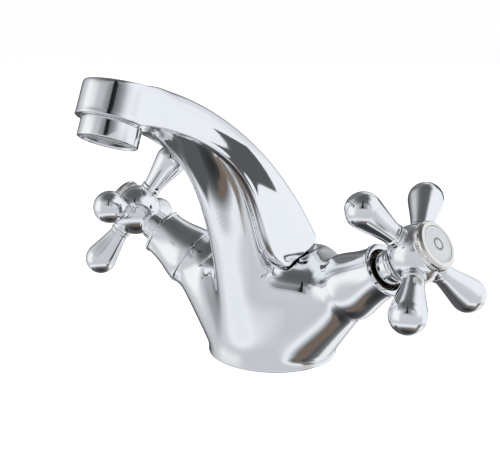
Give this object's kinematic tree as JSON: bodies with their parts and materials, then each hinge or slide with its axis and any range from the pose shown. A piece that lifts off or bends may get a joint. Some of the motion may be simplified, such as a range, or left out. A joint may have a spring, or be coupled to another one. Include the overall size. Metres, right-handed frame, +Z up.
{
  "type": "basin mixer tap",
  "caption": "Chromed one-hole basin mixer with a flat swan-neck spout, a tilted aerator outlet and a cross handle on an angled valve at each side.",
  "frame": {"origin": "centre of the foot's underside, on the basin's top face", "axes": "+Z up, the spout points along -Y, the cold valve and handle are at +X and the hot ones at -X"},
  "size_m": [0.1652, 0.1268, 0.1108],
  "materials": {
    "casting": "mirror-polished chrome plate on cast brass",
    "chrome_trim": "mirror-polished chrome plate on brass",
    "cap_metal": "polished, slightly warm plate",
    "index_plastic": "pale grey-white gloss",
    "brass": "turned",
    "steel": "bright stainless",
    "rubber": "matt",
    "ceramic": "lapped",
    "white_plastic": "moulded"
  },
  "bodies": {
    "fixed": {"body": "casting", "base_seal": "rubber", "aerator_housing": "chrome_trim", "aerator_insert": "white_plastic", "aerator_mesh": "steel", "aerator_washer": "rubber", "cold_sleeve": "chrome_trim", "cold_valve_body": "brass", "cold_seat_seal": "rubber", "cold_fixed_disc": "ceramic", "hot_sleeve": "chrome_trim", "hot_valve_body": "brass", "hot_seat_seal": "rubber", "hot_fixed_disc": "ceramic"},
    "cold_handle": {"cold_hub": "chrome_trim", "cold_arm_1": "chrome_trim", "cold_arm_2": "chrome_trim", "cold_arm_3": "chrome_trim", "cold_arm_4": "chrome_trim", "cold_screw": "steel", "cold_cap": "cap_metal", "cold_index": "index_plastic", "cold_spindle": "brass", "cold_spindle_rings": "rubber", "cold_clip": "steel", "cold_moving_disc": "ceramic"},
    "hot_handle": {"hot_hub": "chrome_trim", "hot_arm_1": "chrome_trim", "hot_arm_2": "chrome_trim", "hot_arm_3": "chrome_trim", "hot_arm_4": "chrome_trim", "hot_screw": "steel", "hot_cap": "cap_metal", "hot_index": "index_plastic", "hot_spindle": "brass", "hot_spindle_rings": "rubber", "hot_clip": "steel", "hot_moving_disc": "ceramic"}
  },
  "joints": [
    {"name": "cold_valve_turn", "type": "hinge", "parent": "fixed", "child": "cold_handle", "pos_m": [0.06354, -0.0099, 0.0513], "axis": [0.8306, -0.1465, 0.5373], "range_deg": [-90, 0]},
    {"name": "hot_valve_turn", "type": "hinge", "parent": "fixed", "child": "hot_handle", "pos_m": [-0.06354, -0.0099, 0.0513], "axis": [-0.8306, -0.1465, 0.5373], "range_deg": [0, 90]}
  ]
}
